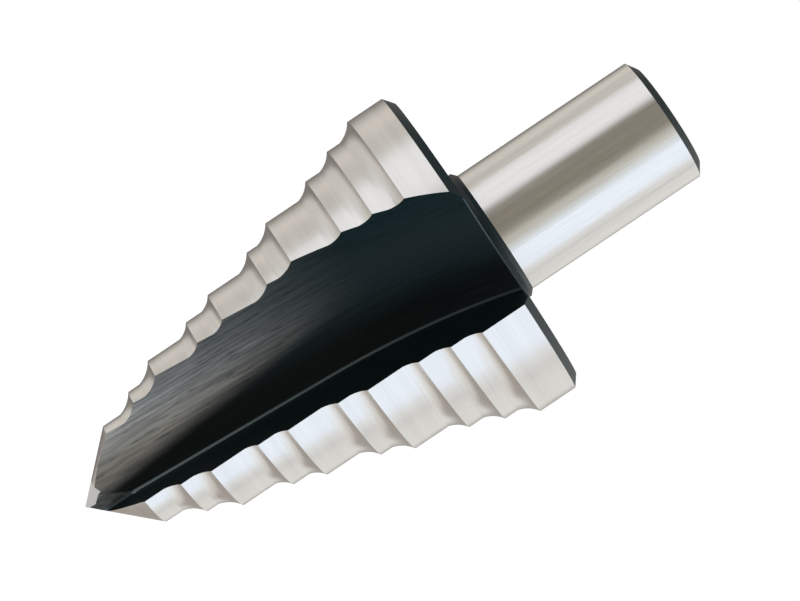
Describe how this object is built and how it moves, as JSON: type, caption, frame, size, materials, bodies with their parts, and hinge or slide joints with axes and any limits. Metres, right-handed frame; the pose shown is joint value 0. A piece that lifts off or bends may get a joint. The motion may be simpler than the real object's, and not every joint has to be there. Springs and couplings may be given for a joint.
{
  "type": "step drill",
  "caption": "Straight-fluted step drill with stepped cutting lands on a conical body, a split point, a thin collar and a plain round shank.",
  "frame": {"origin": "centre of the shank's flat end, on the drill's axis", "axes": "+Z along the axis towards the point; +X along one of the cutting edges, whose face looks towards +Y"},
  "size_m": [0.0328, 0.0324, 0.0657],
  "materials": {
    "tool_steel": "ground bright on the lands, point and shank; black oxide in the flutes, on the back face, its chamfer and the collar"
  },
  "bodies": {
    "root": {"step_drill": "tool_steel"}
  },
  "joints": []
}
